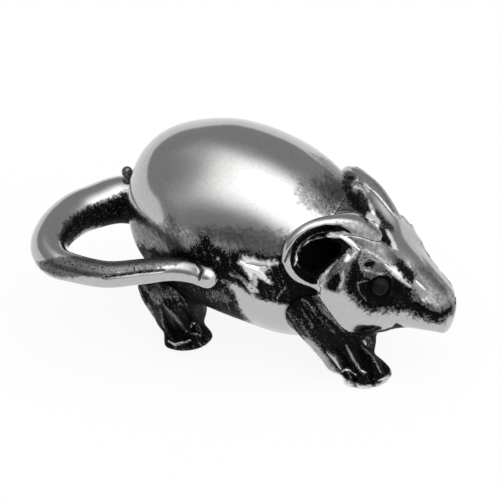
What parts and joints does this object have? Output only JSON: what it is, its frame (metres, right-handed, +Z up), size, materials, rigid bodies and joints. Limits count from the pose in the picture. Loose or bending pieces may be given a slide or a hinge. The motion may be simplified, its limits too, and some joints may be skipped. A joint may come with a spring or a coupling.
{
  "type": "mouse figurine",
  "caption": "Small cast white-metal mouse figurine with cupped ears, bead eyes and a tail curled back to its flank.",
  "frame": {"origin": "bottom centre of the whole figurine's box, on the surface that the four paws stand on", "axes": "+X forward towards the nose, +Y towards the mouse's left, +Z up"},
  "size_m": [0.0498, 0.029, 0.028],
  "materials": {
    "antique_silver": "polished white metal with black patina rubbed off the high spots",
    "polished_eye": "bright polished metal bead"
  },
  "bodies": {
    "root": {"body_shell": "antique_silver", "head": "antique_silver", "right_ear": "antique_silver", "left_ear": "antique_silver", "right_eye": "polished_eye", "left_eye": "polished_eye", "tail": "antique_silver", "tail_root_stud": "antique_silver", "right_front_leg": "antique_silver", "left_front_leg": "antique_silver", "right_hind_leg": "antique_silver", "left_hind_leg": "antique_silver"}
  },
  "joints": []
}
